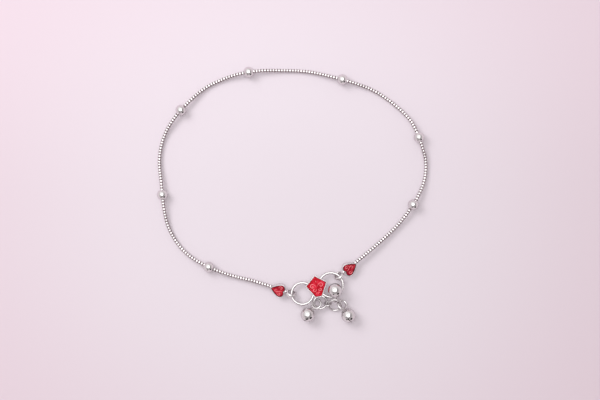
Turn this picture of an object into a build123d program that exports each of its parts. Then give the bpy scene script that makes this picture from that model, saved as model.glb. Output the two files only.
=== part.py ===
"""Payal anklet: a fine round chain with seven drilled beads, two heart end caps, an
S-hook with an enamelled setting, and three slit bells on jump rings. Millimetres.

The anklet lies on the XY plane, closed. The origin is the middle of its box, on the
surface that it rests on.
"""
from build123d import *
from math import asin, cos, degrees, radians, sin, tan
import os

# ---- Chain and beads ----------------------------------------------------------------
CHAIN_DIA = 1.35
BEAD_DIA = 3.6
BEAD_BORE = 1.6
RUN_Z = 1.8           # height of the chain's axis where a bead carries it
CAP_Z = 1.75          # height of the chain's axis where an end cap carries it
SAG_Z = 0.75          # height of the route between beads
ARC_SHARE = 0.45      # part of the shorter run that a corner's arc takes

# The chain's route from the left cap's neck, round the ankle, to the right cap's neck.
ROUTE = [
    (-3.75, -32.70, CAP_Z),
    (-12.60, -29.65, CAP_Z),
    (-18.70, -28.45, SAG_Z),
    (-24.95, -26.50, RUN_Z),
    (-32.35, -23.15, RUN_Z),
    (-37.80, -19.20, SAG_Z),
    (-42.45, -12.10, SAG_Z),
    (-44.10, -4.25, RUN_Z),
    (-44.70, 3.75, RUN_Z),
    (-45.80, 11.20, SAG_Z),
    (-44.30, 19.45, SAG_Z),
    (-40.45, 25.90, RUN_Z),
    (-35.75, 31.10, RUN_Z),
    (-30.00, 36.25, SAG_Z),
    (-24.20, 38.95, SAG_Z),
    (-18.45, 40.85, RUN_Z),
    (-11.65, 41.95, RUN_Z),
    (-3.50, 42.05, SAG_Z),
    (5.00, 41.80, SAG_Z),
    (13.40, 39.80, RUN_Z),
    (20.15, 37.95, RUN_Z),
    (27.50, 35.40, SAG_Z),
    (34.50, 30.60, SAG_Z),
    (39.60, 25.75, 1.25),
    (41.70, 22.05, RUN_Z),
    (43.90, 16.45, RUN_Z),
    (45.50, 10.60, SAG_Z),
    (44.85, 4.30, SAG_Z),
    (42.45, -1.15, RUN_Z),
    (39.25, -6.15, RUN_Z),
    (34.90, -11.60, 1.00),
    (25.68, -19.80, CAP_Z),
    (18.15, -25.75, CAP_Z),
]
BEAD_RUNS = [3, 7, 11, 15, 19, 24, 28]   # each bead sits mid-way along the run from here
SPLIT_RUN = 15                           # the chain's two nodes meet inside this run's bead

# ---- Heart end caps -----------------------------------------------------------------
# In a cap's own frame the end ring is at the origin, +X runs along the chain to the
# heart's tip, and +Z points out of the heart's front.
CAP_ROLL = 24                # the hearts lean towards the wearer's foot
END_RING_ROLL = 33           # and their end rings a little further
CHAIN_SEAT = 3.2             # from the ring's centre to the end of the chain
TIP_X = 7.2
LOBE_X, LOBE_Y, LOBE_R = 3.6, 0.95, 1.47
LOBE_END_ANGLE = 64          # where the lobe's arc hands over to the heart's side
BACK_Z, FRONT_Z = -0.35, 1.15
PLATE_UNDER_Z, PLATE_TOP_Z = 0.73, 0.95
CAP_WALL = 0.3
CHAIN_CHANNEL = 1.45
NECK_R = 0.55
NECK_START_X, NECK_END_X = 1.6, 3.15
END_RING_R = 1.45
END_RING_RADIAL, END_RING_AXIAL = 0.42, 0.58   # half sizes of the ring's oval wire

# ---- S-hook and its setting ---------------------------------------------------------
HOOK_MID = (8.1, -32.35)
HOOK_Z = 1.6
HOOK_HEADING = 16.8
HOOK_WIRE = 0.9
LEFT_EYE_X, LEFT_EYE_R = -5.13, 3.67
RIGHT_EYE_X, RIGHT_EYE_R = 5.0, 4.1
FREE_END_ANGLE = 25          # both free ends stop here, under the setting
SETTING_MID = (8.25, -32.32)
SETTING_HEADING = 12.4
SETTING_UNDER_Z, SETTING_TALL = 1.95, 1.15
SETTING_OUTLINE = [(0, 4.8), (3.75, 1.78), (1.15, -2.7), (-1.15, -2.7), (-3.75, 1.78)]
SETTING_CORNER_R = 0.15
RECESS_DEEP = 0.3
DROP_LOOP_AT = (9.3, -36.81, 1.58)
DROP_LOOP_R, DROP_LOOP_WIRE = 2.17, 0.7
DROP_LOOP_HEADING, DROP_LOOP_TILT = 102.8, 10

# ---- Enamel -------------------------------------------------------------------------
RIM = 0.18                   # the silver's width round the enamel
ENAMEL_GAP = 0.03
ENAMEL_BELOW_RIM = 0.05
SCROLL_WIDTH = 0.3
SCROLL_PROUD = 0.12          # raised scrolls over the enamel's field
# One half of the setting's spray: each curl's start, heading and arcs of (radius, turn).
SETTING_CURLS = [
    ((0.3, 0.9), 80, [(1.3, -70), (0.62, -180), (0.32, -170)]),
    ((0.3, 0.1), -85, [(1.0, 40), (0.45, 165), (0.24, 150)]),
    ((0.35, -1.0), -65, [(0.8, 40)]),
]

# ---- Jump rings ---------------------------------------------------------------------
LINK_RING_AT, LINK_RING_R, LINK_RING_WIRE = (11.84, -37.29, 1.55), 1.17, 0.5
LINK_RING_TILT = -60         # it stands nearly on edge
BELL_RING_AT, BELL_RING_R, BELL_RING_WIRE = (14.25, -37.76, 1.54), 2.1, 0.65
BELL_RING_TILT = 27.5

# ---- Bells --------------------------------------------------------------------------
BELL_R = 2.45
BELL_WALL = 0.3
SLIT_WIDE = 0.3
SLIT_HALF_ANGLE = 54
SLIT_END_DIA = 0.6
SEAM_WIDE, SEAM_DEEP = 0.08, 0.06
CAP_BASE_R, CAP_TOP_R, CAP_TALL = 0.85, 0.45, 0.5
# Bell: centre, the point its bail aims at, the bail's reach from the centre, radius,
# wire and roll about the bell's axis, and the turn of the slit's plane about that axis.
BELLS = {
    "bell_a": dict(at=(5.03, -40.94, 2.45), aim=(8.0, -37.4, 1.55), reach=4.7,
                   bail_r=1.58, wire=0.75, roll=-30, slit=114),
    "bell_b": dict(at=(14.25, -32.62, 3.95), aim=(14.3, -35.9, 2.5), reach=3.6,
                   bail_r=0.85, wire=0.5, roll=-55, slit=10),
    "bell_c": dict(at=(18.8, -41.24, 2.45), aim=(16.48, -37.14, 1.22), reach=4.3,
                   bail_r=1.55, wire=0.7, roll=32, slit=73),
}


def finish(name, builder):
    """Label a finished sub-part and write it to its own STEP file."""
    builder.part.label = name
    export_step(builder.part, f"parts/{name}.step")


# ---- Chain --------------------------------------------------------------------------
def corner_radii(points):
    """The largest tangent arc that each corner's two runs allow."""
    radii = []
    for before, corner, after in zip(points, points[1:], points[2:]):
        run_in, run_out = corner - before, after - corner
        half_turn = radians(run_in.get_angle(run_out) / 2)
        radii.append(ARC_SHARE * min(run_in.length, run_out.length) / tan(half_turn))
    return radii


def chain_tube(name, points, radii):
    """One stretch of the chain's outer form, along straight runs and tangent arcs."""
    with BuildPart() as tube:
        with BuildLine() as path:
            FilletPolyline(*points, radius=radii)
        line = path.wire()
        with BuildSketch(Plane(line @ 0, z_dir=line % 0)) as section:
            Circle(CHAIN_DIA / 2)
        sweep(path=line)
    print(f"{name}: length {line.length:.1f} mm, volume {tube.part.volume:.2f} mm3, "
          f"section times length {section.sketch.area * line.length:.2f} mm3")
    finish(name, tube)


def bead(name, start, end):
    """A polished ball, drilled along the run of chain that it sits on."""
    along = Plane((start + end) / 2, z_dir=end - start)
    with BuildPart(along) as ball:
        Sphere(BEAD_DIA / 2)
        Cylinder(BEAD_BORE / 2, BEAD_DIA, mode=Mode.SUBTRACT)
    finish(name, ball)


# ---- Scroll relief ------------------------------------------------------------------
def scroll(start, heading, arcs):
    """A raised curl: arcs of (radius, turn in degrees) that follow on from each other."""
    with BuildLine() as curl:
        point, tangent = Vector(*start), Vector(cos(radians(heading)), sin(radians(heading)))
        for radius, turn in arcs:
            arc = JernArc(start=point, tangent=tangent, radius=radius, arc_size=turn)
            point, tangent = arc @ 1, arc % 1
    trace(curl.line, line_width=SCROLL_WIDTH)
    with Locations(curl.line @ 0, curl.line @ 1):
        Circle(SCROLL_WIDTH / 2)


def setting_scrolls():
    """A spray of mirrored volutes and leaves, with a bud above it and another below."""
    for side in (1, -1):
        for (x, y), heading, arcs in SETTING_CURLS:
            scroll((x * side, y), 90 + (heading - 90) * side,
                   [(radius, turn * side) for radius, turn in arcs])
    scroll((0.05, 2.3), 92, [(3, 12)])
    scroll((0.03, -1.0), -92, [(3, 12)])


def heart_scrolls():
    """A volute in each lobe, and a stem from the notch that curls towards the tip."""
    scroll((4.45, 0.9), 75, [(0.6, 160), (0.36, 190)])
    scroll((4.45, -0.9), -75, [(0.6, -160), (0.36, -190)])
    scroll((3.1, -0.1), 12, [(4.2, 24), (0.5, -170), (0.28, -130)])


# ---- Heart end caps -----------------------------------------------------------------
def cap_plane(chain_end, chain_next, side, roll):
    """A cap's own frame at a roll: its ring is CHAIN_SEAT beyond the chain's end."""
    along = (chain_next - chain_end).normalized()
    lean = along.rotate(Axis.Z, 90 * side)
    front = lean * sin(radians(roll)) + Vector(0, 0, cos(radians(roll)))
    return Plane(chain_end - along * CHAIN_SEAT, x_dir=along, z_dir=front)


def heart_face(inset=0):
    """The heart's outline as a face, drawn in by an inset, in the cap's own frame."""
    lobe = Vector(LOBE_X, LOBE_Y)
    notch_angle = 270 - degrees(asin((LOBE_R**2 - LOBE_Y**2) ** 0.5 / LOBE_R))
    with BuildLine() as outline:
        arc = CenterArc(lobe, LOBE_R, LOBE_END_ANGLE, notch_angle - LOBE_END_ANGLE)
        TangentArc(arc @ 0, (TIP_X, 0), tangent=(arc % 0) * -1)
        mirror(about=Plane.XZ)
    make_face(outline.edges())
    if inset:
        offset(amount=-inset, mode=Mode.REPLACE)


def heart_cap(name, plane, ring_plane):
    """Silver cap: hollow back over the chain's end, neck, and the end ring soldered on."""
    with BuildPart() as cap:
        with BuildSketch(plane.offset(BACK_Z)):
            heart_face()
        extrude(amount=FRONT_Z - BACK_Z)
        with BuildSketch(plane.offset(BACK_Z)):
            heart_face(CAP_WALL)
        extrude(amount=PLATE_UNDER_Z - BACK_Z, mode=Mode.SUBTRACT)
        with BuildSketch(plane.offset(PLATE_TOP_Z)):
            heart_face(RIM)
        extrude(amount=FRONT_Z - PLATE_TOP_Z, mode=Mode.SUBTRACT)
        across = Plane(plane.origin, z_dir=plane.x_dir)
        with BuildSketch(across.offset(CHAIN_SEAT)):
            Circle(CHAIN_CHANNEL / 2)
        extrude(amount=TIP_X, mode=Mode.SUBTRACT)
        with BuildSketch(across.offset(NECK_START_X)):
            Circle(NECK_R)
        extrude(amount=NECK_END_X - NECK_START_X)
        with BuildSketch(ring_plane):
            with Locations((END_RING_R, 0)):
                Ellipse(END_RING_RADIAL, END_RING_AXIAL)
        revolve(axis=Axis(ring_plane.origin, ring_plane.y_dir))
    finish(name, cap)


def heart_enamel(name, plane):
    """Red enamel in the heart's recess, with its scrolls raised."""
    top = FRONT_Z - ENAMEL_BELOW_RIM
    with BuildPart() as enamel:
        with BuildSketch(plane.offset(PLATE_TOP_Z + ENAMEL_GAP)):
            heart_face(RIM + ENAMEL_GAP)
        extrude(amount=top - PLATE_TOP_Z - ENAMEL_GAP)
        with BuildSketch(plane.offset(top)):
            heart_scrolls()
        extrude(amount=SCROLL_PROUD)
    finish(name, enamel)


# ---- S-hook -------------------------------------------------------------------------
def setting_plane(height):
    """The setting's frame at a height: its apex points along +Y."""
    turn = radians(SETTING_HEADING)
    return Plane((*SETTING_MID, height), x_dir=(cos(turn), sin(turn), 0), z_dir=(0, 0, 1))


def setting_face(inset=0):
    """The setting's five-sided outline as a face, drawn in by an inset."""
    Polygon(*SETTING_OUTLINE, align=None)
    if inset:
        offset(amount=-inset, kind=Kind.INTERSECTION, mode=Mode.REPLACE)


def tilted(centre, heading, tilt):
    """A plane at a centre that rises by a tilt towards a heading."""
    rise = Vector(cos(radians(heading)), sin(radians(heading)))
    return Plane(centre, z_dir=Vector(0, 0, cos(radians(tilt))) - rise * sin(radians(tilt)))


def hook(name):
    """S-bent wire with the setting and the drop loop soldered to it."""
    turn = radians(HOOK_HEADING)
    flat = Plane((*HOOK_MID, HOOK_Z), x_dir=(cos(turn), sin(turn), 0), z_dir=(0, 0, 1))
    between = RIGHT_EYE_X - LEFT_EYE_X
    cross_angle = degrees(asin((LEFT_EYE_R + RIGHT_EYE_R) / between))
    sweep_angle = 360 - (90 - cross_angle) - FREE_END_ANGLE
    with BuildPart() as clasp:
        with BuildLine(flat) as wire:
            left = CenterArc((LEFT_EYE_X, 0), LEFT_EYE_R, FREE_END_ANGLE, sweep_angle)
            right = CenterArc((RIGHT_EYE_X, 0), RIGHT_EYE_R, FREE_END_ANGLE - 180, sweep_angle)
            Line(left @ 1, right @ 1)
        path = wire.wire()
        with BuildSketch(Plane(path @ 0, z_dir=path % 0)):
            Circle(HOOK_WIRE / 2)
        sweep(path=path)
        with Locations(path @ 0, path @ 1):
            Sphere(HOOK_WIRE / 2)
        with BuildSketch(setting_plane(SETTING_UNDER_Z)):
            setting_face()
        walls = extrude(amount=SETTING_TALL)
        fillet(walls.edges().filter_by(Axis.Z), SETTING_CORNER_R)
        with BuildSketch(setting_plane(SETTING_UNDER_Z + SETTING_TALL)):
            setting_face(RIM)
        extrude(amount=-RECESS_DEEP, mode=Mode.SUBTRACT)
        with Locations(tilted(DROP_LOOP_AT, DROP_LOOP_HEADING, DROP_LOOP_TILT)):
            Torus(DROP_LOOP_R, DROP_LOOP_WIRE / 2)
    finish(name, clasp)


def setting_enamel(name):
    """Red enamel in the setting's recess, with its scrolls raised."""
    floor = SETTING_UNDER_Z + SETTING_TALL - RECESS_DEEP + ENAMEL_GAP
    top = SETTING_UNDER_Z + SETTING_TALL - ENAMEL_BELOW_RIM
    with BuildPart() as enamel:
        with BuildSketch(setting_plane(floor)):
            setting_face(RIM + ENAMEL_GAP)
        extrude(amount=top - floor)
        with BuildSketch(setting_plane(top)):
            setting_scrolls()
        extrude(amount=SCROLL_PROUD)
    finish(name, enamel)


# ---- Jump rings and bells -----------------------------------------------------------
def jump_ring(name, plane, radius, wire):
    """A closed ring of round wire."""
    with BuildPart(plane) as ring:
        Torus(radius, wire / 2)
    finish(name, ring)


def bell(name, at, aim, reach, bail_r, wire, roll, slit):
    """A hollow slit ball with its cap and bail; +Z of its frame points at the bail."""
    axis = (Vector(*aim) - Vector(*at)).normalized()
    level = Vector(0, 0, 1).cross(axis)
    slit_plane = Plane(at, x_dir=level.rotate(Axis((0, 0, 0), axis), slit), z_dir=axis)
    lip_z = -BELL_R * cos(radians(SLIT_HALF_ANGLE))
    with BuildPart(slit_plane) as ball:
        Sphere(BELL_R)
        Sphere(BELL_R - BELL_WALL, mode=Mode.SUBTRACT)
        with Locations((0, 0, lip_z)):
            Box(2 * BELL_R, SLIT_WIDE, BELL_R, mode=Mode.SUBTRACT,
                align=(Align.CENTER, Align.CENTER, Align.MAX))
        for end_angle in (180 - SLIT_HALF_ANGLE, 180 + SLIT_HALF_ANGLE):
            with Locations(Location((0, 0, 0), (0, end_angle, 0))):
                Cylinder(SLIT_END_DIA / 2, BELL_R + 1, mode=Mode.SUBTRACT,
                         align=(Align.CENTER, Align.CENTER, Align.MIN))
        with BuildSketch(slit_plane):
            with Locations((BELL_R, 0)):
                Rectangle(2 * SEAM_DEEP, SEAM_WIDE)
        revolve(axis=Axis(slit_plane.origin, slit_plane.y_dir), mode=Mode.SUBTRACT)
        with Locations((0, 0, BELL_R - BELL_WALL)):
            Cone(CAP_BASE_R, CAP_TOP_R, CAP_TALL + BELL_WALL,
                 align=(Align.CENTER, Align.CENTER, Align.MIN))
        bail_turn = Location((0, 0, reach), (0, 0, roll - slit)) * Location((0, 0, 0), (90, 0, 0))
        with Locations(bail_turn):
            Torus(bail_r, wire / 2)
    finish(name, ball)


# ---- The anklet ---------------------------------------------------------------------
def build():
    os.makedirs("parts", exist_ok=True)
    route = [Vector(*point) for point in ROUTE]
    radii = corner_radii(route)
    print("chain corner radii:", ", ".join(f"{radius:.0f}" for radius in radii))

    middle = (route[SPLIT_RUN] + route[SPLIT_RUN + 1]) / 2
    chain_tube("chain_left", [*route[:SPLIT_RUN + 1], middle], radii[:SPLIT_RUN])
    chain_tube("chain_right", [middle, *route[SPLIT_RUN + 1:]], radii[SPLIT_RUN:])
    for number, run in enumerate(BEAD_RUNS, start=1):
        bead(f"bead_{number}", route[run], route[run + 1])

    ends = {"left": (route[0], route[1], 1), "right": (route[-1], route[-2], -1)}
    for side, seat in ends.items():
        plane = cap_plane(*seat, CAP_ROLL)
        heart_cap(f"heart_{side}", plane, cap_plane(*seat, END_RING_ROLL))
        heart_enamel(f"enamel_heart_{side}", plane)

    hook("hook")
    setting_enamel("enamel_pentagon")
    jump_ring("link_ring", tilted(LINK_RING_AT, 90, LINK_RING_TILT), LINK_RING_R,
              LINK_RING_WIRE)
    jump_ring("bell_ring", tilted(BELL_RING_AT, 90, BELL_RING_TILT), BELL_RING_R,
              BELL_RING_WIRE)
    for name, sizes in BELLS.items():
        bell(name, **sizes)


build()
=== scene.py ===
"""Looks of a silver payal anklet with red enamel, a woven chain, beads and round bells.

Every piece is shaped in millimetres in its own frame and then set in its place in metres.
"""
from math import asin, atan2, ceil, cos, pi, radians, sin, sqrt

import bmesh
import bpy
from mathutils import Matrix, Vector


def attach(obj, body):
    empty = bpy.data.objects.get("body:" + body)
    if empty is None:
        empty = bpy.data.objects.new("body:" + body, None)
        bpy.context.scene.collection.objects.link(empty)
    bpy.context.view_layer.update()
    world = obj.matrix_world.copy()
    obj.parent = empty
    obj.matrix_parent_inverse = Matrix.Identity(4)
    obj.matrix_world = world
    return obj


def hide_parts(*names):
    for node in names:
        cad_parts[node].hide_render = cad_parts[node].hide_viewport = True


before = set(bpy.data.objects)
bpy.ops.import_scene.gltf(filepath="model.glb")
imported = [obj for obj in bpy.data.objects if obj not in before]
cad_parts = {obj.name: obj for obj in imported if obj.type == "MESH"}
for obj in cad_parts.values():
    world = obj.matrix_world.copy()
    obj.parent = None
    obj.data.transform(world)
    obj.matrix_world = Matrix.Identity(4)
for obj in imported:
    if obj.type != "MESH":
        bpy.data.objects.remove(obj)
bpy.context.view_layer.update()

MM = 0.001
UP = Vector((0, 0, 1))
# Points nearer than this, in millimetres, are one point.
WELD = 0.0005
# Edges that turn by more than this, in degrees, are hard.
HARD_ANGLE = 38
RING_STEPS, HOOK_STEPS, WIRE_SIDES = 112, 84, 28

# ---- Sizes, in millimetres -----------------------------------------------------------
LINK_PITCH = 0.95
BEAD_R, BEAD_BORE_R, BEAD_EDGE_R = 1.8, 0.8, 0.05
BEAD_RUNS = (3, 7, 11, 15, 19, 24, 28)
SPLIT_RUN = 15

CAP_ROLL, END_RING_ROLL, CHAIN_SEAT, TIP_X = 24, 33, 3.2, 7.2
LOBE, LOBE_R, LOBE_END_ANGLE = Vector((3.6, 0.95, 0)), 1.47, 64
BACK_Z, FRONT_Z, PLATE_UNDER_Z, PLATE_TOP_Z = -0.35, 1.15, 0.73, 0.95
CAP_WALL, CHANNEL_R = 0.3, 0.725
NECK_R, NECK_START_X, NECK_END_X = 0.55, 1.6, 3.15
END_RING_R, END_RING_RADIAL, END_RING_AXIAL = 1.45, 0.42, 0.58

HOOK_MID, HOOK_Z, HOOK_HEADING, HOOK_WIRE = (8.1, -32.35), 1.6, 16.8, 0.9
LEFT_EYE_X, LEFT_EYE_R, RIGHT_EYE_X, RIGHT_EYE_R, FREE_END_ANGLE = -5.13, 3.67, 5.0, 4.1, 25
SETTING_MID, SETTING_HEADING, SETTING_UNDER_Z = (8.25, -32.32), 12.4, 1.95
SETTING_TALL, RECESS_DEEP, RIM = 1.15, 0.3, 0.18
SETTING_CORNER_R, SETTING_LEAST_CORNER_R, HOOK_TIP_R = 0.15, 0.06, 0.3
SETTING_OUTLINE = ((0, 4.8), (3.75, 1.78), (1.15, -2.7), (-1.15, -2.7), (-3.75, 1.78))
DROP_LOOP_AT, DROP_LOOP_R, DROP_LOOP_WIRE = (9.3, -36.81, 1.58), 2.17, 0.7
DROP_LOOP_HEADING, DROP_LOOP_TILT = 102.8, 10

ENAMEL_GAP, ENAMEL_BELOW_RIM, SCROLL_R = 0.03, 0.05, 0.15

LINK_RING = dict(at=(11.84, -37.29, 1.55), heading=90, tilt=-60, radius=1.17, wire=0.5)
BELL_RING = dict(at=(14.25, -37.76, 1.54), heading=90, tilt=27.5, radius=2.1, wire=0.65)

BELL_R, BELL_WALL, SLIT_WIDE, SLIT_HALF_ANGLE, SLIT_END_R = 2.45, 0.3, 0.3, 54, 0.3
SEAM_WIDE, SEAM_DEEP = 0.08, 0.06
COLLAR_BASE_R, COLLAR_TOP_R, COLLAR_TALL, COLLAR_EDGE_R = 0.85, 0.45, 0.5, 0.08
BELLS = {
    "bell_a": dict(at=(5.03, -40.94, 2.45), aim=(8.0, -37.4, 1.55), reach=4.7,
                   bail_r=1.58, wire=0.75, roll=-30, slit=114),
    "bell_b": dict(at=(14.25, -32.62, 3.95), aim=(14.3, -35.9, 2.5), reach=3.6,
                   bail_r=0.85, wire=0.5, roll=-55, slit=10),
    "bell_c": dict(at=(18.8, -41.24, 2.45), aim=(16.48, -37.14, 1.22), reach=4.3,
                   bail_r=1.55, wire=0.7, roll=32, slit=73),
}

# The chain's route from the left heart round the ankle to the right heart, in metres.
ROUTE = [
    (-0.00375, -0.03270, 0.00175), (-0.01260, -0.02965, 0.00175), (-0.01870, -0.02845, 0.00075),
    (-0.02495, -0.02650, 0.00180), (-0.03235, -0.02315, 0.00180), (-0.03780, -0.01920, 0.00075),
    (-0.04245, -0.01210, 0.00075), (-0.04410, -0.00425, 0.00180), (-0.04470, 0.00375, 0.00180),
    (-0.04580, 0.01120, 0.00075), (-0.04430, 0.01945, 0.00075), (-0.04045, 0.02590, 0.00180),
    (-0.03575, 0.03110, 0.00180), (-0.03000, 0.03625, 0.00075), (-0.02420, 0.03895, 0.00075),
    (-0.01845, 0.04085, 0.00180), (-0.01165, 0.04195, 0.00180), (-0.00350, 0.04205, 0.00075),
    (0.00500, 0.04180, 0.00075), (0.01340, 0.03980, 0.00180), (0.02015, 0.03795, 0.00180),
    (0.02750, 0.03540, 0.00075), (0.03450, 0.03060, 0.00075), (0.03960, 0.02575, 0.00125),
    (0.04170, 0.02205, 0.00180), (0.04390, 0.01645, 0.00180), (0.04550, 0.01060, 0.00075),
    (0.04485, 0.00430, 0.00075), (0.04245, -0.00115, 0.00180), (0.03925, -0.00615, 0.00180),
    (0.03490, -0.01160, 0.00100), (0.02568, -0.01980, 0.00175), (0.01815, -0.02575, 0.00175),
]


# ---- Materials -----------------------------------------------------------------------
class Value:
    """A node's output; Python's arithmetic on it adds Math nodes."""

    def __init__(self, finish, socket):
        self.finish, self.socket = finish, socket

    def worked(self, operation, first, second):
        return self.finish.node("ShaderNodeMath", {"operation": operation}, {0: first, 1: second})

    def __add__(self, other):
        return self.worked("ADD", self, other)

    def __sub__(self, other):
        return self.worked("SUBTRACT", self, other)

    def __rsub__(self, other):
        return self.worked("SUBTRACT", other, self)

    def __mul__(self, other):
        return self.worked("MULTIPLY", self, other)

    __radd__ = __add__
    __rmul__ = __mul__


class Finish:
    """A node tree being made, for a material or for the sky."""

    def __init__(self, owner):
        owner.use_nodes = True
        self.tree = owner.node_tree
        self.tree.nodes.clear()

    def node(self, kind, settings=None, sockets=None, out=0):
        made = self.tree.nodes.new(kind)
        for name, setting in (settings or {}).items():
            setattr(made, name, setting)
        for name, value in (sockets or {}).items():
            if isinstance(value, Value):
                self.tree.links.new(value.socket, made.inputs[name])
            elif hasattr(value, "__len__") and len(value) == 3 and made.inputs[name].type == "RGBA":
                made.inputs[name].default_value = (*value, 1)
            else:
                made.inputs[name].default_value = value
        return Value(self, made.outputs[out]) if made.outputs else None

    def blended(self, share, low, high):
        """One colour going over into another as the share goes from 0 to 1."""
        return self.node("ShaderNodeMix", {"data_type": "RGBA"}, {0: share, 6: low, 7: high}, out=2)

    def step(self, value, low, high):
        """0 below low, 1 above high, and smooth between."""
        return self.node("ShaderNodeMapRange", {"interpolation_type": "SMOOTHSTEP"},
                         {"Value": value, "From Min": low, "From Max": high})

    def noise(self, vector, scale, detail=2.0, roughness=0.5):
        return self.node("ShaderNodeTexNoise", None,
                         {"Vector": vector, "Scale": scale, "Detail": detail,
                          "Roughness": roughness})

    def facing_up(self):
        """How far a surface looks upwards: 1 on top, 0 on a flank and -1 underneath."""
        normal = self.node("ShaderNodeTexCoord", out="Normal")
        return self.node("ShaderNodeSeparateXYZ", None, {"Vector": normal}, out="Z")

    def surface(self, sockets):
        shader = self.node("ShaderNodeBsdfPrincipled", None, sockets)
        self.node("ShaderNodeOutputMaterial", None, {"Surface": shader})


def started(name):
    material = bpy.data.materials.new(name)
    return material, Finish(material)


def silver(name, bright, painted_shade_colour, roughness, wear):
    """Polished sterling silver, painted lighter on top and darker on its flanks and underneath as
    painted shade, with faint clouds of tarnish, hair scratches and a soft hammered skin."""
    material, f = started(name)
    place = f.node("ShaderNodeTexCoord", out="Object")
    clouds = f.noise(place, 420, 3)
    skin = f.noise(place, 1500, 2)
    combed = f.node("ShaderNodeMapping", {"vector_type": "TEXTURE"},
                    {"Vector": place, "Rotation": (0.3, 0.2, 0.7), "Scale": (1, 14, 14)})
    scratches = f.step(f.noise(combed, 9000, 4, 0.65), 0.6, 0.78)
    # Painted shade: the colour darkens as the surface turns from the top to its flanks and
    # underneath, with tarnish clouds mixed in.
    painted_light_and_clouds = f.step(f.facing_up() + (clouds - 0.5) * 0.25, 0.05, 0.95)
    bump = f.node("ShaderNodeBump", None,
                  {"Strength": 0.3, "Distance": 0.00002 * wear,
                   "Height": skin * 0.8 + scratches * 0.25})
    f.surface({"Base Color": f.blended(painted_light_and_clouds, painted_shade_colour, bright), "Metallic": 1.0,
               "Roughness": roughness + 0.08 - painted_light_and_clouds * 0.08 + scratches * 0.08, "Normal": bump})
    return material


def woven_silver(name):
    """The chain's links, with painted highlight on their crests and painted shade on their flanks
    and between them.
    """
    material, f = started(name)
    place = f.node("ShaderNodeTexCoord", out="Object")
    crest = f.node("ShaderNodeAttribute", {"attribute_name": "crest"}, out="Fac")
    clouds = f.noise(place, 700, 3)
    # Painted highlight on crests that face up and painted shade elsewhere, with faint clouds mixed
    # in.
    painted_light_and_clouds = f.step(crest + (clouds - 0.5) * 0.12, 0.62, 0.86) * f.step(f.facing_up(), 0.45, 0.95)
    scratches = f.noise(place, 9000, 3)
    bump = f.node("ShaderNodeBump", None,
                  {"Strength": 0.35, "Distance": 0.00002, "Height": scratches})
    f.surface({"Base Color": f.blended(painted_light_and_clouds, (0.56, 0.49, 0.505), (0.97, 0.94, 0.945)),
               "Metallic": 1.0, "Roughness": 0.38 - painted_light_and_clouds * 0.16, "Normal": bump})
    return material


def red_enamel(name, middle, patches, edge):
    """Glossy red enamel with lighter patches and tiny pits, painted darker towards its edge as
    painted shade from the rim.
    """
    material, f = started(name)
    place = f.node("ShaderNodeTexCoord", out="Object")
    inset = f.node("ShaderNodeAttribute", {"attribute_name": "inset"}, out="Fac")
    clouds = f.noise(place, 800, 3)
    pits = f.step(f.noise(place, 5200, 1), 0.7, 0.8)
    # Painted shade: the colour goes over into the dark edge colour near the rim.
    share = f.step(inset + (clouds - 0.5) * 0.3, 0.28, 0.56)
    waves = f.noise(place, 900, 1)
    bump = f.node("ShaderNodeBump", None,
                  {"Strength": 0.2, "Distance": 0.00004, "Height": waves - pits * 0.4})
    field = f.blended(f.step(f.noise(place, 650, 2), 0.46, 0.62), middle, patches)
    f.surface({"Base Color": f.blended(share, edge, field), "Roughness": 0.05 + pits * 0.2,
               "Specular IOR Level": 0.22, "Normal": bump})
    return material


def scroll_enamel(name):
    """The raised scrolls: a paler, rosier red than the enamel round them."""
    material, f = started(name)
    place = f.node("ShaderNodeTexCoord", out="Object")
    clouds = f.noise(place, 1600, 2)
    rosy = f.blended(f.step(clouds, 0.3, 0.7), (0.66, 0.1, 0.12), (0.82, 0.22, 0.24))
    f.surface({"Base Color": rosy,
               "Roughness": 0.16 + clouds * 0.08, "Specular IOR Level": 0.3})
    return material


def pale_floor(name):
    """A plain pale surface with a fine paper tooth, painted darker and rosier away from its middle
    as painted shade, and glowing a little, more towards the far side, as painted light."""
    material, f = started(name)
    place = f.node("ShaderNodeTexCoord", out="Object")
    away = f.node("ShaderNodeVectorMath", {"operation": "DISTANCE"},
                  {0: place, 1: (0.0, -0.005, 0)}, out="Value")
    tooth = f.noise(place, 2600, 3)
    bump = f.node("ShaderNodeBump", None, {"Strength": 0.15, "Distance": 0.00003, "Height": tooth})
    # Painted shade: darker and rosier away from the middle.
    paper = f.blended(f.step(away, 0.03, 0.14), (0.49, 0.453, 0.49), (0.45, 0.366, 0.41))
    # Painted light: the floor glows, more towards the far side.
    far = f.step(f.node("ShaderNodeSeparateXYZ", None, {"Vector": place}, out="Y"), -0.01, 0.07)
    f.surface({"Base Color": paper, "Roughness": 0.75, "Specular IOR Level": 0.2, "Normal": bump,
               "Emission Color": f.blended(far, (0.48, 0.42, 0.44), (0.64, 0.56, 0.6)),
               "Emission Strength": 0.36})
    return material


# Each silver's second colour is painted shade for its flanks and underneath.
BEAD_SILVER = silver("bead_silver", (0.88, 0.86, 0.86), (0.56, 0.5, 0.515), 0.07, 0.6)
BELL_SILVER = silver("bell_silver", (0.86, 0.84, 0.84), (0.52, 0.475, 0.485), 0.08, 1.0)
WIRE_SILVER = silver("wire_silver", (0.82, 0.8, 0.8), (0.42, 0.38, 0.39), 0.1, 0.8)
CAST_SILVER = silver("cast_silver", (0.93, 0.91, 0.905), (0.66, 0.61, 0.62), 0.15, 1.6)
CHAIN_SILVER = woven_silver("chain_silver")
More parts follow.
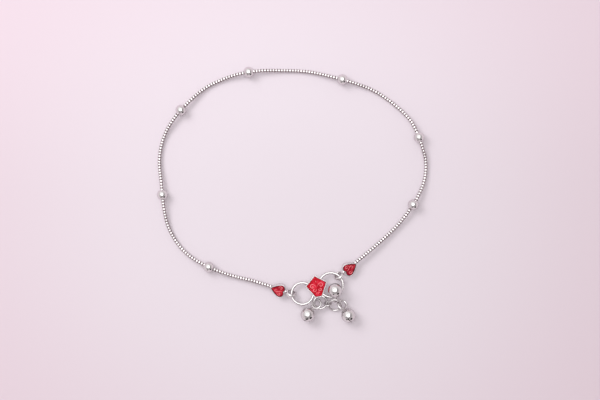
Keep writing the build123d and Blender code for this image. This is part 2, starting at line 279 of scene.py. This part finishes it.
# Each enamel's last colour is painted shade at its edge, under the rim.
SETTING_RED = red_enamel("setting_red", (0.45, 0.004, 0.014), (0.62, 0.03, 0.055),
                         (0.16, 0.0, 0.006))
HEART_RED = red_enamel("heart_red", (0.36, 0.005, 0.02), (0.58, 0.03, 0.05), (0.09, 0.0, 0.006))
SCROLL_RED = scroll_enamel("scroll_red")
FLOOR_PAPER = pale_floor("floor_paper")


# ---- Helpers -------------------------------------------------------------------------
def stand(centre, z_dir, x_dir):
    """The matrix that takes millimetres in a piece's own frame to its place in metres."""
    z = Vector(z_dir).normalized()
    x = (Vector(x_dir) - z * z.dot(Vector(x_dir))).normalized()
    turn = Matrix((x, z.cross(x), z)).transposed().to_4x4()
    return Matrix.Translation(Vector(centre) * MM) @ turn @ Matrix.Scale(MM, 4)


def leaning(at, heading, tilt):
    """A place whose plane rises by a tilt towards a heading, both in degrees."""
    rise = Vector((cos(radians(heading)), sin(radians(heading)), 0))
    return stand(at, UP * cos(radians(tilt)) - rise * sin(radians(tilt)), rise.cross(UP))


def edges_of(verts):
    return list({edge for vert in verts for edge in vert.link_edges})


def only(kind, parts):
    """The vertices, the edges or the faces among a shape's parts."""
    return [part for part in parts if isinstance(part, kind)]


def as_object(name, bm):
    """A shape as an object in the scene."""
    mesh = bpy.data.meshes.new(name)
    bm.to_mesh(mesh)
    bm.free()
    made = bpy.data.objects.new(name, mesh)
    bpy.context.scene.collection.objects.link(made)
    return made


def piece(name, bm, place, material, crease=HARD_ANGLE):
    """Set a shape in its place as a smooth piece of the anklet, with its hard edges kept."""
    bmesh.ops.transform(bm, matrix=place, verts=bm.verts)
    made = as_object(name, bm)
    made.data.materials.append(material)
    made.data.shade_smooth()
    made.data.set_sharp_from_angle(angle=radians(crease))
    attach(made, "root")
    return made


def outward(bm):
    """Merge what meets and turn the faces outwards."""
    bmesh.ops.remove_doubles(bm, verts=bm.verts, dist=WELD)
    bmesh.ops.recalc_face_normals(bm, faces=bm.faces)


def wire_ring(bm, radius, wire, flat=1.0, place=Matrix.Identity(4)):
    """A closed ring of wire round the frame's Z axis; flat widens the wire along that axis."""
    section = bmesh.ops.create_circle(
        bm, segments=WIRE_SIDES, radius=wire / 2,
        matrix=place @ Matrix.Translation((radius, 0, 0)) @ Matrix.Rotation(pi / 2, 4, "X")
        @ Matrix.Diagonal((1, flat, 1, 1)))["verts"]
    bmesh.ops.spin(bm, geom=section + edges_of(section), cent=place.translation,
                   axis=place.to_3x3() @ UP, angle=2 * pi, steps=RING_STEPS, use_merge=True)


def bevel(bm, edges, offset, segments):
    bmesh.ops.bevel(bm, geom=edges, offset=offset, offset_type="OFFSET", segments=segments,
                    profile=0.5, affect="EDGES", material=-1, clamp_overlap=True)


def soften(bm, faces, offset):
    """Round every hard edge of these faces, as polishing does."""
    hard = [edge for edge in {e for face in faces for e in face.edges}
            if len(edge.link_faces) == 2 and edge.calc_face_angle(0) > radians(HARD_ANGLE)]
    bevel(bm, hard, offset, 3)


def cut_away(bm, cutter):
    """The shape in bm with the cutter's shape taken out of it."""
    bmesh.ops.recalc_face_normals(cutter, faces=cutter.faces)
    whole = as_object("whole", bm)
    tool = as_object("cutter", cutter)
    cut = whole.modifiers.new("cut", "BOOLEAN")
    cut.operation, cut.solver, cut.object = "DIFFERENCE", "EXACT", tool
    bpy.context.view_layer.update()
    depsgraph = bpy.context.evaluated_depsgraph_get()
    result = bpy.data.meshes.new_from_object(whole.evaluated_get(depsgraph))
    left = bmesh.new()
    left.from_mesh(result)
    used = (whole.data, tool.data, result)
    for thing in (whole, tool):
        bpy.data.objects.remove(thing)
    for mesh in used:
        bpy.data.meshes.remove(mesh)
    bmesh.ops.remove_doubles(left, verts=left.verts, dist=WELD)
    return left


def smooth_line(curve, points):
    """A smooth line in the curve that the points pull along with them."""
    spline = curve.splines.new("NURBS")
    spline.points.add(len(points) - 1)
    for control, point in zip(spline.points, points):
        control.co = (*point, 1)
    spline.order_u = 3
    spline.use_endpoint_u = True
    return spline


def read_curve(curve):
    """The curve's mesh, with the curve itself thrown away."""
    carrier = bpy.data.objects.new(curve.name, curve)
    read = bpy.data.meshes.new_from_object(carrier)
    bpy.data.objects.remove(carrier)
    bpy.data.curves.remove(curve)
    return read


# ---- The woven chain -----------------------------------------------------------------
# Each link is a broad folded ring, and a thin one that shows in the notch behind it.
BROAD_RING = dict(mid_r=0.43, half_thick=0.27, half_long=0.37, ahead=0, steps=10, sides=5)
THIN_RING = dict(mid_r=0.34, half_thick=0.18, half_long=0.3, ahead=LINK_PITCH / 2, steps=8,
                 sides=3)
LINK_INNER_R, LINK_OUTER_R, LINK_WAVE, LINK_BULGE = 0.16, 0.7, 0.24, 0.08
# How the chain is rolled about its own line: share of its length and degrees.
CHAIN_ROLL = [(0, 0), (0.2, -2), (0.45, 1), (0.7, 2), (0.85, 3), (1, 1)]


def chain_line():
    """The points of the chain's smooth line."""
    curve = bpy.data.curves.new("chain_line", "CURVE")
    curve.dimensions, curve.resolution_u = "3D", 40
    smooth_line(curve, ROUTE)
    read = read_curve(curve)
    line = [vertex.co.copy() for vertex in read.vertices]
    bpy.data.meshes.remove(read)
    return line


def walked(line, spacing, start):
    """Points, directions and distances along the line at an even spacing, and its length."""
    stops, walked_so_far, wanted = [], 0.0, start
    for here, there in zip(line, line[1:]):
        length = (there - here).length
        while wanted <= walked_so_far + length:
            stops.append((here.lerp(there, (wanted - walked_so_far) / length),
                          (there - here).normalized(), wanted))
            wanted += spacing
        walked_so_far += length
    return stops, walked_so_far


def rolled(share):
    """How far the chain is rolled, in degrees, at a share of its length."""
    for (low, first), (high, second) in zip(CHAIN_ROLL, CHAIN_ROLL[1:]):
        if share <= high:
            return first + (second - first) * (share - low) / (high - low)
    return CHAIN_ROLL[-1][1]


def folded_ring(bm, mid_r, half_thick, half_long, ahead, steps, sides):
    """A ring round the Z axis with a flat on top, spun from an oval of a few sides."""
    section = bmesh.ops.create_circle(
        bm, segments=sides, radius=1,
        matrix=Matrix.Translation((0, 0, ahead)) @ Matrix.Rotation(pi / steps, 4, "Z")
        @ Matrix.Translation((mid_r, 0, 0)) @ Matrix.Rotation(pi / 2, 4, "X")
        @ Matrix.Diagonal((half_thick, half_long, 1, 1))
        @ Matrix.Rotation(pi / sides / 2, 4, "Z"))["verts"]
    bmesh.ops.spin(bm, geom=section + edges_of(section), cent=(0, 0, 0), axis=UP,
                   angle=2 * pi, steps=steps, use_merge=True)


def one_link(bm, crest):
    """One link of the weave: its two rings, slanting to and fro round the Z axis."""
    for ring in (BROAD_RING, THIN_RING):
        folded_ring(bm, **ring)
    for vert in bm.verts:
        around, radius = atan2(vert.co.y, vert.co.x), vert.co.xy.length
        # How far out a point lies in its link; the chain's material paints highlight and shade by
        # it.
        vert[crest] = (radius - LINK_INNER_R) / (LINK_OUTER_R - LINK_INNER_R)
        bulge = 1 - LINK_BULGE + LINK_BULGE * 1.6 * abs(sin(2 * around))
        fold = 2 * abs(2 * ((around / pi) % 1) - 1) - 1
        vert.co = (vert.co.x * bulge, vert.co.y * bulge, vert.co.z - LINK_WAVE * fold)
    bmesh.ops.recalc_face_normals(bm, faces=bm.faces)


def woven_chain(name, node, stops, whole_length):
    """A stretch of the chain: one link after another along its line."""
    bm = bmesh.new()
    crest = bm.verts.layers.float.new("crest")
    one_link(bm, crest)
    pattern_verts = list(bm.verts)
    pattern = pattern_verts + list(bm.edges) + list(bm.faces)
    for spot, ahead, walked_so_far in stops:
        copied = bmesh.ops.duplicate(bm, geom=pattern)["geom"]
        verts = only(bmesh.types.BMVert, copied)
        turn = Matrix.Rotation(radians(rolled(walked_so_far / whole_length)), 4, "Z")
        bmesh.ops.transform(bm, matrix=stand(spot / MM, ahead, UP) @ turn, verts=verts)
    bmesh.ops.delete(bm, geom=pattern_verts, context="VERTS")
    made = piece(name, bm, Matrix.Identity(4), CHAIN_SILVER, crease=34)
    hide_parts(node)


line = chain_line()
stops, chain_length = walked(line, LINK_PITCH * MM, LINK_PITCH * MM / 2)
middle = (Vector(ROUTE[SPLIT_RUN]) + Vector(ROUTE[SPLIT_RUN + 1])) / 2
nearest = min(range(len(stops)), key=lambda number: (stops[number][0] - middle).length)
woven_chain("woven_chain_left", "chain_left", stops[:nearest + 1], chain_length)
woven_chain("woven_chain_right", "chain_right", stops[nearest + 1:], chain_length)


# ---- Beads ---------------------------------------------------------------------------
def bead(name, start, end):
    """A polished ball, drilled along the chain's run, its bore's rims a little rounded."""
    bm = bmesh.new()
    pole = asin(BEAD_BORE_R / BEAD_R)
    first = bmesh.ops.create_vert(bm, co=(BEAD_BORE_R, 0, BEAD_R * cos(pole)))["vert"]
    bmesh.ops.spin(bm, geom=first, cent=(0, 0, 0), axis=(0, 1, 0), angle=pi - 2 * pole, steps=36)
    ends = [vert for vert in bm.verts if len(vert.link_edges) == 1]
    bm.edges.new(ends)
    bmesh.ops.spin(bm, geom=list(bm.verts) + list(bm.edges), cent=(0, 0, 0), axis=UP,
                   angle=2 * pi, steps=72, use_merge=True)
    outward(bm)
    soften(bm, bm.faces, BEAD_EDGE_R)
    run_from, run_to = Vector(start) / MM, Vector(end) / MM
    made = piece(name + "_ball", bm, stand((run_from + run_to) / 2, run_to - run_from, UP),
                 BEAD_SILVER)
    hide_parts(name)


for number, run in enumerate(BEAD_RUNS, start=1):
    bead(f"bead_{number}", ROUTE[run], ROUTE[run + 1])


# ---- Enamel --------------------------------------------------------------------------
def arcs_from(start, heading, arcs):
    """Points along arcs of (radius, turn in degrees) that follow on from each other."""
    point, direction = Vector((*start, 0)), radians(heading)
    points = [point]
    for radius, turn in arcs:
        steps = max(4, ceil(abs(turn) / 18))
        for _ in range(steps):
            half = radians(turn) / steps / 2
            direction += half
            ahead = Vector((cos(direction), sin(direction), 0))
            point = point + ahead * 2 * radius * abs(sin(half))
            direction += half
            points.append(point)
    return points


def scrolls(name, curls, height, place):
    """Raised curls on the enamel: round-backed strokes that thin out at both ends."""
    curve = bpy.data.curves.new(name, "CURVE")
    curve.dimensions, curve.bevel_depth, curve.bevel_resolution = "3D", SCROLL_R, 4
    curve.resolution_u, curve.use_fill_caps = 6, True
    for curl in curls:
        stroke = smooth_line(curve, [(*point.xy, height) for point in arcs_from(*curl)])
        for number, point in enumerate(stroke.points):
            share = number / (len(stroke.points) - 1)
            point.radius = 0.3 + 0.75 * sin(pi * share) ** 0.6
    read = read_curve(curve)
    bm = bmesh.new()
    bm.from_mesh(read)
    bpy.data.meshes.remove(read)
    outward(bm)
    piece(name, bm, place, SCROLL_RED, crease=60)


def setting_arcs(inset):
    """The arcs round the setting's five corners, drawn in by an inset."""
    arcs, corner_r = [], max(SETTING_CORNER_R - inset, SETTING_LEAST_CORNER_R)
    for number, corner in enumerate(SETTING_OUTLINE):
        here = Vector((*corner, 0))
        back = (Vector((*SETTING_OUTLINE[number - 1], 0)) - here).normalized()
        on = (Vector((*SETTING_OUTLINE[(number + 1) % 5], 0)) - here).normalized()
        half = back.angle(on) / 2
        centre = here + (back + on).normalized() * (inset + corner_r) / sin(half)
        arcs.append((centre + back.cross(UP) * corner_r, centre, 2 * half - pi, 4))
    return arcs


def heart_arcs(inset):
    """The arcs round the heart from its tip on +X, drawn in by an inset."""
    def way(angle):
        return Vector((cos(angle), sin(angle), 0))

    def lower(point):
        return Vector((point.x, -point.y, 0))

    end, notch_angle = radians(LOBE_END_ANGLE), pi + asin(LOBE.y / LOBE_R)
    notch = Vector((LOBE.x - sqrt(LOBE_R**2 - LOBE.y**2), 0, 0))
    handover = LOBE + way(end) * LOBE_R
    reach = Vector((TIP_X, 0, 0)) - handover
    side_r = reach.length_squared / (-2 * reach.dot(way(end)))
    side = handover - way(end) * side_r
    tip_angle = asin(-side.y / (side_r - inset))
    return [
        (side + way(tip_angle) * (side_r - inset), side, end - tip_angle, 14),
        (LOBE + way(end) * (LOBE_R - inset), LOBE, notch_angle - end, 26),
        (notch + way(notch_angle - pi) * inset, notch, 2 * (pi - notch_angle), 12),
        (lower(LOBE) + way(-notch_angle) * (LOBE_R - inset), lower(LOBE), notch_angle - end, 26),
        (lower(side) + way(-end) * (side_r - inset), lower(side), end - tip_angle, 14),
    ]


def outline(bm, depth, inset, height, arcs):
    """A closed line round the arcs at a height; each of its points keeps its inset.
    An arc is its start, centre, turn and number of steps."""
    level, ends, older = Vector((0, 0, height)), [], len(bm.edges)
    for start, centre, turn, steps in arcs:
        first = bmesh.ops.create_vert(bm, co=start + level)["vert"]
        swept = bmesh.ops.spin(bm, geom=first, cent=centre + level, axis=UP, angle=turn,
                               steps=steps)
        ends += [first[0], swept["geom_last"][0]]
    for number in range(1, len(ends), 2):
        bm.edges.new((ends[number], ends[(number + 1) % len(ends)]))
    bm.edges.ensure_lookup_table()
    edges = bm.edges[older:]
    for edge in edges:
        for vert in edge.verts:
            vert[depth] = inset
    return edges


def stacked(arcs_of, levels):
    """A solid through outlines of (inset, height), closed at its first and last."""
    bm = bmesh.new()
    depth = bm.verts.layers.float.new("inset")
    loops = [outline(bm, depth, inset, height, arcs_of(inset)) for inset, height in levels]
    for under, over in zip(loops, loops[1:]):
        bmesh.ops.bridge_loops(bm, edges=under + over)
    for cap in (loops[0], loops[-1]):
        bmesh.ops.contextual_create(bm, geom=cap)
    outward(bm)
    return bm


def eased(inset, height, inwards, upwards, radius):
    """The levels of a rounded edge, from its wall to its flat."""
    return [(inset + inwards * radius * (1 - cos(turn)),
             height + upwards * radius * (1 - sin(turn)))
            for turn in (0, pi / 6, pi / 3, pi / 2)]


def tray(top, bottom, recess):
    """The levels of a tray with a raised rim, from its recess out and down to its underside."""
    return ([(RIM, top - recess)] + eased(RIM, top - 0.006, -1, -1, 0.06) + [(RIM / 2, top)]
            + eased(0, top - 0.006, 1, -1, 0.07)[::-1] + eased(0, bottom + 0.006, 1, 1, 0.05))


def enamel(name, node, arcs_of, bottom, top, place, material, curls):
    """A slab of enamel in its recess, its face a little crowned, with scrolls on it."""
    edge = RIM + ENAMEL_GAP
    bm = stacked(arcs_of, [(edge, bottom)] + eased(edge, top, 1, -1, 0.05)
                 + [(edge + 0.14, top + 0.01), (edge + 0.28, top + 0.015)])
    made = piece(name, bm, place, material, crease=50)
    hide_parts(node)
    scrolls(name + "_scrolls", curls, top, place)


# Each curl's start, heading and arcs of (radius, turn); the setting's spray is mirrored.
HALF_SPRAY = [
    ((0.3, 0.9), 80, [(1.3, -70), (0.62, -180), (0.32, -170)]),
    ((0.3, 0.1), -85, [(1.0, 40), (0.45, 165), (0.24, 150)]),
    ((0.35, -1.0), -65, [(0.8, 40)]),
]
SETTING_CURLS = [((0.05, 2.3), 92, [(3, 12)]), ((0.03, -1.0), -92, [(3, 12)])] + [
    ((x * side, y), 90 + (heading - 90) * side, [(radius, turn * side) for radius, turn in arcs])
    for (x, y), heading, arcs in HALF_SPRAY for side in (1, -1)]
HEART_CURLS = [
    ((4.45, 0.9), 75, [(0.6, 160), (0.36, 190)]),
    ((4.45, -0.9), -75, [(0.6, -160), (0.36, -190)]),
    ((3.1, -0.1), 12, [(4.2, 24), (0.5, -170), (0.28, -130)]),
]


# ---- Heart end caps ------------------------------------------------------------------
def cap_place(chain_end, chain_next, lean_side, roll):
    """A cap's place at a roll: its ring's centre, with +X along the chain."""
    along = (Vector(chain_next) - Vector(chain_end)).normalized()
    front = UP.cross(along) * lean_side * sin(radians(roll)) + UP * cos(radians(roll))
    return stand(Vector(chain_end) / MM - along * CHAIN_SEAT, front, along)


def heart_cap(side, *seat):
    """A heart of cast silver over the chain's end, with its neck, end ring and enamel."""
    place = cap_place(*seat, CAP_ROLL)
    ring_place = place.inverted() @ cap_place(*seat, END_RING_ROLL)

    bm = stacked(heart_arcs, tray(FRONT_Z, BACK_Z, FRONT_Z - PLATE_TOP_Z)
                 + [(CAP_WALL / 2, BACK_Z)] + eased(CAP_WALL, BACK_Z + 0.006, -1, 1, 0.05)[::-1]
                 + [(CAP_WALL, PLATE_UNDER_Z)])
    channel = bmesh.new()
    bmesh.ops.create_cone(channel, cap_ends=True, segments=48, radius1=CHANNEL_R, radius2=CHANNEL_R,
                          depth=TIP_X, matrix=Matrix.Translation((CHAIN_SEAT + TIP_X / 2, 0, 0))
                          @ Matrix.Rotation(pi / 2, 4, "Y"))
    bm = cut_away(bm, channel)
    bmesh.ops.create_cone(bm, cap_ends=True, segments=48, radius1=NECK_R, radius2=NECK_R,
                          depth=NECK_END_X - NECK_START_X,
                          matrix=Matrix.Translation(((NECK_END_X + NECK_START_X) / 2, 0, 0))
                          @ Matrix.Rotation(pi / 2, 4, "Y"))
    wire_ring(bm, END_RING_R, 2 * END_RING_RADIAL, flat=END_RING_AXIAL / END_RING_RADIAL,
              place=ring_place @ Matrix.Rotation(pi / 2, 4, "X"))
    bmesh.ops.recalc_face_normals(bm, faces=bm.faces)
    made = piece(f"heart_{side}_cap", bm, place, CAST_SILVER)
    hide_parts(f"heart_{side}")
    enamel(f"heart_{side}_red", f"enamel_heart_{side}", heart_arcs, PLATE_TOP_Z + ENAMEL_GAP,
           FRONT_Z - ENAMEL_BELOW_RIM, place, HEART_RED, HEART_CURLS)


heart_cap("left", ROUTE[0], ROUTE[1], 1)
heart_cap("right", ROUTE[-1], ROUTE[-2], -1)


# ---- S-hook with its setting ---------------------------------------------------------
def s_wire(bm):
    """The hook's wire: round the left eye, across, and round the right eye."""
    between = RIGHT_EYE_X - LEFT_EYE_X
    cross_angle = asin((LEFT_EYE_R + RIGHT_EYE_R) / between)
    turn = 2 * pi - (pi / 2 - cross_angle) - radians(FREE_END_ANGLE)
    start = radians(FREE_END_ANGLE)
    left, right = Vector((LEFT_EYE_X, 0, 0)), Vector((RIGHT_EYE_X, 0, 0))
    section = bmesh.ops.create_circle(
        bm, cap_ends=True, segments=WIRE_SIDES, radius=HOOK_WIRE / 2,
        matrix=Matrix.Translation(left) @ Matrix.Rotation(start, 4, "Z")
        @ Matrix.Translation((LEFT_EYE_R, 0, 0)) @ Matrix.Rotation(pi / 2, 4, "X"))["verts"]
    rim = edges_of(section)
    went = bmesh.ops.spin(bm, geom=section + rim, cent=left, axis=UP, angle=turn,
                          steps=HOOK_STEPS)["geom_last"]
    straight = bmesh.ops.extrude_edge_only(bm, edges=only(bmesh.types.BMEdge, went))["geom"]
    verts = only(bmesh.types.BMVert, straight)
    across = Vector((cos(start + turn), sin(start + turn), 0))
    bmesh.ops.translate(bm, verts=verts,
                        vec=(right - across * RIGHT_EYE_R) - (left + across * LEFT_EYE_R))
    went = bmesh.ops.spin(bm, geom=verts + only(bmesh.types.BMEdge, straight), cent=right,
                          axis=-UP, angle=turn, steps=HOOK_STEPS)["geom_last"]
    bmesh.ops.contextual_create(bm, geom=only(bmesh.types.BMEdge, went))
    outward(bm)
    ends = [face for face in bm.faces if len(face.verts) > 4]
    bevel(bm, list({edge for face in ends for edge in face.edges}), HOOK_TIP_R, 5)


def s_hook():
    """The clasp: its wire, and the setting and the drop loop that are soldered to it."""
    heading, facing = radians(HOOK_HEADING), radians(SETTING_HEADING)
    bm = bmesh.new()
    s_wire(bm)
    wire = piece("s_hook_wire", bm, stand((*HOOK_MID, HOOK_Z), UP, (cos(heading), sin(heading), 0)),
                 WIRE_SILVER)
    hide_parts("hook")

    setting = stand((*SETTING_MID, 0), UP, (cos(facing), sin(facing), 0))
    top = SETTING_UNDER_Z + SETTING_TALL
    bm = stacked(setting_arcs, tray(top, SETTING_UNDER_Z, RECESS_DEEP))
    piece("setting_tray", bm, setting, CAST_SILVER)
    enamel("setting_red", "enamel_pentagon", setting_arcs, top - RECESS_DEEP + ENAMEL_GAP,
           top - ENAMEL_BELOW_RIM, setting, SETTING_RED, SETTING_CURLS)

    bm = bmesh.new()
    wire_ring(bm, DROP_LOOP_R, DROP_LOOP_WIRE)
    outward(bm)
    piece("drop_loop", bm, leaning(DROP_LOOP_AT, DROP_LOOP_HEADING, DROP_LOOP_TILT),
          WIRE_SILVER)


s_hook()


# ---- Jump rings and bells ------------------------------------------------------------
def jump_ring(name, at, heading, tilt, radius, wire):
    bm = bmesh.new()
    wire_ring(bm, radius, wire)
    outward(bm)
    made = piece(name + "_wire", bm, leaning(at, heading, tilt), WIRE_SILVER)
    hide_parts(name)


jump_ring("link_ring", **LINK_RING)
jump_ring("bell_ring", **BELL_RING)


def ball_shell(bm, radius, seam):
    """A ball spun about the Y axis, with a fine groove where its two halves meet."""
    first = bmesh.ops.create_vert(bm, co=(0, radius, 0))["vert"]
    half = pi / 2 - (asin(SEAM_WIDE / 2 / radius) if seam else 0)
    arc = bmesh.ops.spin(bm, geom=first, cent=(0, 0, 0), axis=(0, 0, -1), angle=half, steps=26)
    upper_end = only(bmesh.types.BMVert, arc["geom_last"])
    second = bmesh.ops.create_vert(bm, co=(0, -radius, 0))["vert"]
    arc = bmesh.ops.spin(bm, geom=second, cent=(0, 0, 0), axis=UP, angle=half, steps=26)
    lower_end = only(bmesh.types.BMVert, arc["geom_last"])
    if seam:
        groove = bmesh.ops.create_vert(bm, co=(radius - SEAM_DEEP, 0, 0))["vert"]
        bm.edges.new(upper_end + groove)
        bm.edges.new(lower_end + groove)
    bmesh.ops.spin(bm, geom=list(bm.verts) + list(bm.edges), cent=(0, 0, 0), axis=(0, 1, 0),
                   angle=2 * pi, steps=104, use_merge=True)
    outward(bm)


def bell(name, at, aim, reach, bail_r, wire, roll, slit):
    """A hollow ball of two halves with a slit, its collar and its bail."""
    axis = (Vector(aim) - Vector(at)).normalized()
    level = Matrix.Rotation(radians(slit), 3, axis) @ UP.cross(axis)
    place = stand(at, axis, level)

    inner = bmesh.new()
    ball_shell(inner, BELL_R - BELL_WALL, False)
    bm = bmesh.new()
    ball_shell(bm, BELL_R, True)
    bm = cut_away(bm, inner)
    cutter = bmesh.new()
    lip = BELL_R * cos(radians(SLIT_HALF_ANGLE))
    bmesh.ops.create_cube(cutter, size=1, matrix=Matrix.Translation((0, 0, -lip - BELL_R / 2))
                          @ Matrix.Diagonal((2 * BELL_R, SLIT_WIDE, BELL_R, 1)))
    bm = cut_away(bm, cutter)
    for side in (-1, 1):
        drill = bmesh.new()
        bmesh.ops.create_cone(
            drill, cap_ends=True, segments=36, radius1=SLIT_END_R, radius2=SLIT_END_R,
            depth=BELL_R + 1, matrix=Matrix.Rotation(pi + side * radians(SLIT_HALF_ANGLE), 4, "Y")
            @ Matrix.Translation((0, 0, (BELL_R + 1) / 2)))
        bm = cut_away(bm, drill)
    bmesh.ops.recalc_face_normals(bm, faces=bm.faces)
    tall = COLLAR_TALL + BELL_WALL
    collar = bmesh.ops.create_cone(
        bm, cap_ends=True, segments=48, radius1=COLLAR_BASE_R, radius2=COLLAR_TOP_R, depth=tall,
        matrix=Matrix.Translation((0, 0, BELL_R - BELL_WALL + tall / 2)))["verts"]
    soften(bm, list({face for vert in collar for face in vert.link_faces}), COLLAR_EDGE_R)
    wire_ring(bm, bail_r, wire, place=Matrix.Translation((0, 0, reach))
              @ Matrix.Rotation(radians(roll - slit), 4, "Z") @ Matrix.Rotation(pi / 2, 4, "X"))
    made = piece(name + "_ball", bm, place, BELL_SILVER, crease=30)
    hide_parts(name)


for name, sizes in BELLS.items():
    bell(name, **sizes)


# ---- Stage, light and camera ---------------------------------------------------------
def stage_floor():
    bm = bmesh.new()
    bmesh.ops.create_grid(bm, x_segments=1, y_segments=1, size=1.5)
    floor = as_object("floor", bm)
    floor.data.materials.append(FLOOR_PAPER)


def studio_sky():
    """A square soft light overhead that leans to the far left, with a hot core and a small gap
    in it, in a dimmer room with dark corners."""
    world = bpy.data.worlds.new("studio")
    bpy.context.scene.world = world
    f = Finish(world)
    way = f.node("ShaderNodeTexCoord", out="Generated")

    def towards(direction, start, full):
        along = f.node("ShaderNodeVectorMath", {"operation": "DOT_PRODUCT"},
                       {0: way, 1: Vector(direction).normalized()}, out="Value")
        return f.step(along, start, full)

    turned = f.node("ShaderNodeMapping", None,
                    {"Vector": way, "Rotation": (radians(20), radians(14), radians(12))})
    parts = [f.node("ShaderNodeSeparateXYZ", None, {"Vector": turned}, out=axis) for axis in "XYZ"]
    x, y, out = (f.node("ShaderNodeMath", {"operation": "ABSOLUTE"}, {0: part}) for part in parts)
    widest = f.node("ShaderNodeMath", {"operation": "MAXIMUM"}, {0: x, 1: y})
    box = f.step(out * 0.82 - widest, -0.03, 0.03) - towards((0.012, -0.0625, 1), 0.9959, 0.9978)
    height = f.node("ShaderNodeSeparateXYZ", None, {"Vector": way}, out="Z")
    room = f.blended(f.step(height, 0.2, 0.75), (0.74, 0.67, 0.69), (0.36, 0.33, 0.34))
    for direction, start, full, dark in (((0.643, -0.714, 0.28), 0.94, 0.975, (0.012, 0.01, 0.01)),
                                         ((-0.356, -0.88, 0.31), 0.975, 0.992, (0.06, 0.05, 0.05))):
        room = f.blended(towards(direction, start, full), room, dark)
    softbox = f.blended(towards((0.0, 0.02, 1), 0.87, 0.94), (1.0, 0.985, 0.985), (2.5, 2.47, 2.47))
    colour = f.blended(box, room, softbox)
    light = f.node("ShaderNodeBackground", None, {"Color": colour, "Strength": 1.0})
    f.node("ShaderNodeOutputWorld", None, {"Surface": light})


def soft_light(name, place, aim, width, tall, power, colour):
    lamp = bpy.data.lights.new(name, "AREA")
    lamp.shape, lamp.size, lamp.size_y = "RECTANGLE", width, tall
    lamp.energy, lamp.color = power, colour
    carrier = bpy.data.objects.new(name, lamp)
    carrier.location = place
    carrier.rotation_euler = (Vector(aim) - Vector(place)).to_track_quat("-Z", "Y").to_euler()
    carrier.visible_glossy = False
    bpy.context.scene.collection.objects.link(carrier)


def camera():
    lens = bpy.data.cameras.new("camera")
    lens.lens, lens.sensor_width, lens.clip_start = 85, 36, 0.01
    carrier = bpy.data.objects.new("camera", lens)
    carrier.location = (0.00238, -0.00204, 0.4832)
    bpy.context.scene.collection.objects.link(carrier)
    bpy.context.scene.camera = carrier


stage_floor()
studio_sky()
soft_light("key", (-0.36, 0.285, 0.41), (0, 0, 0), 0.36, 0.26, 2.7, (1.0, 0.97, 0.98))
camera()
bpy.context.scene.view_settings.view_transform = "Standard"
